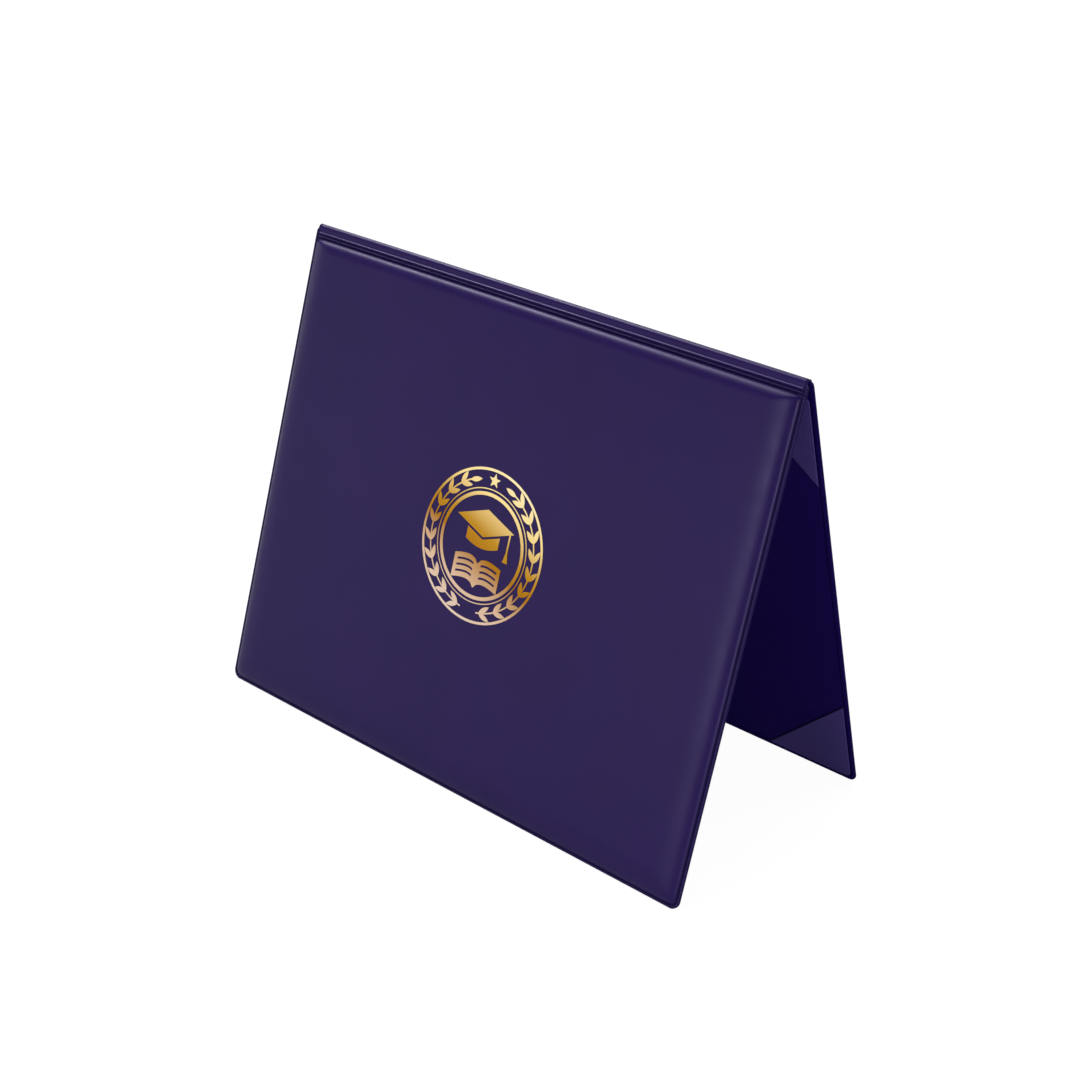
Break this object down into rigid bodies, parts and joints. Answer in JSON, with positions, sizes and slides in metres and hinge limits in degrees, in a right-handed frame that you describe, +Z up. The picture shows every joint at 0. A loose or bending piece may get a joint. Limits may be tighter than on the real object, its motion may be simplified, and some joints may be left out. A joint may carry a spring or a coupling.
{
  "type": "diploma cover",
  "caption": "Padded vinyl certificate cover that folds along its top and stands open like a tent, with corner pockets inside.",
  "frame": {"origin": "on the floor under the middle of the standing cover", "axes": "+X along the ridge, the padded front cover faces -Y, +Z up"},
  "size_m": [0.2922, 0.1418, 0.2278],
  "materials": {
    "vinyl": "smooth semi-matte dark purple vinyl",
    "liner": "smooth dark purple vinyl lining",
    "board": "grey chipboard, hidden",
    "foam": "soft pale foam, hidden",
    "foil": "bright gold hot-stamped foil"
  },
  "bodies": {
    "back_cover": {"back_skin": "vinyl", "back_board": "board", "back_lining": "liner", "pocket_bottom_left": "vinyl", "pocket_bottom_right": "vinyl", "pocket_top_left": "vinyl", "pocket_top_right": "vinyl"},
    "front_cover": {"front_skin": "vinyl", "front_foam": "foam", "front_board": "board", "front_lining": "liner", "foil_outer_ring": "foil", "foil_inner_ring": "foil", "foil_frame_ring": "foil", "foil_wreath_right": "foil", "foil_wreath_left": "foil", "foil_star": "foil", "foil_cap_top": "foil", "foil_cap_crown": "foil", "foil_book": "foil"}
  },
  "joints": [
    {"name": "cover_fold", "type": "hinge", "parent": "back_cover", "child": "front_cover", "pos_m": [0, 0.00032, 0.22586], "axis": [-1, 0, 0], "range_deg": [-33.6, 146.4]}
  ]
}
